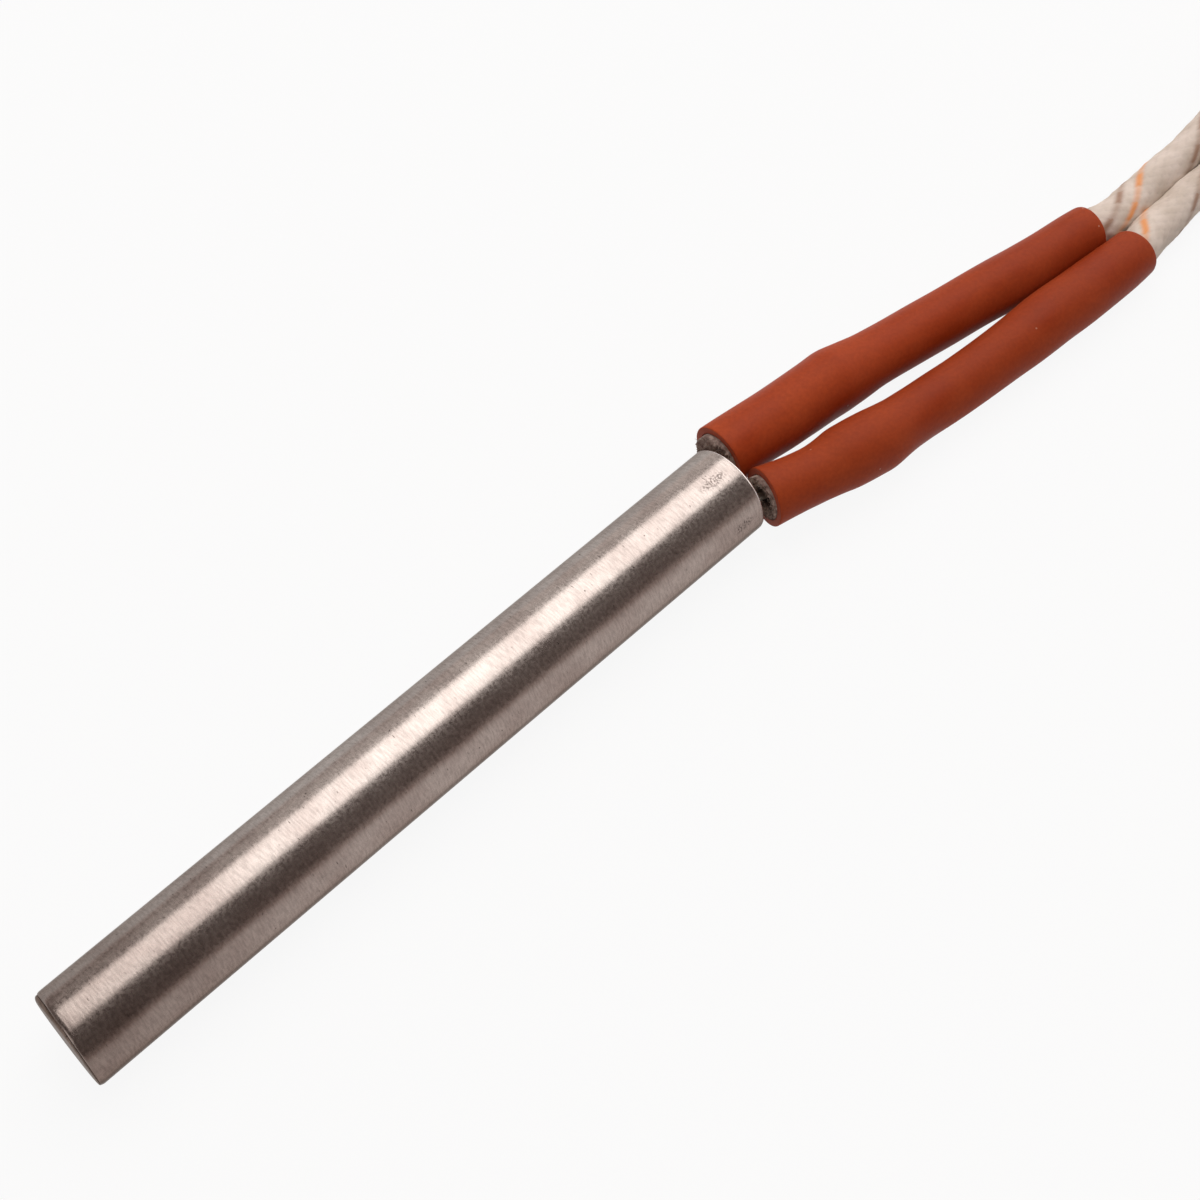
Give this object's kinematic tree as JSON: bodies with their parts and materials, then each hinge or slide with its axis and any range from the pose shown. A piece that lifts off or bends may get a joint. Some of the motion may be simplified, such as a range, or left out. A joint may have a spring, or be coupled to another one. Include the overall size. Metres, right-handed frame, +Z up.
{
  "type": "cartridge heater",
  "caption": "Cylindrical cartridge heater: ground metal sheath closed at the tip, rubber sleeves over the terminals and braided leads, pushed into a bored block to heat it.",
  "frame": {"origin": "centre of the sheath's lead-end face, on the sheath's axis", "axes": "+X along the sheath towards the leads, the tip at -X, +Z up from the surface it lies on"},
  "size_m": [0.2325, 0.0358, 0.012],
  "materials": {
    "sheath": "centreless ground",
    "end_disc": "welded and ground",
    "ceramic": "fired ceramic",
    "fill": "compacted powder",
    "resistance_wire": "oxidised wire",
    "pin": "bright nickel",
    "crimp": "tumbled",
    "conductor": "nickel-plated strands",
    "fibre": "frayed glass fibre",
    "rubber": "satin silicone rubber",
    "braid": "varnished glass braid with tracer threads",
    "tie": "natural nylon"
  },
  "bodies": {
    "root": {"sheath_tube": "sheath", "end_disc": "end_disc", "tip_spacer": "ceramic", "winding_core": "ceramic", "resistance_coil": "resistance_wire", "insulating_fill": "fill", "lead_end_seal": "ceramic", "terminal_pin_a": "pin", "terminal_pin_b": "pin", "crimp_barrel_a": "crimp", "crimp_barrel_b": "crimp", "conductor_a": "conductor", "conductor_b": "conductor", "sleeve_lining_a": "fibre", "sleeve_lining_b": "fibre", "sleeve_a": "rubber", "sleeve_b": "rubber", "lead_a": "braid", "lead_b": "braid", "lead_hank": "braid", "bare_end_a": "conductor", "bare_end_b": "conductor", "hank_tie": "tie"}
  },
  "joints": []
}
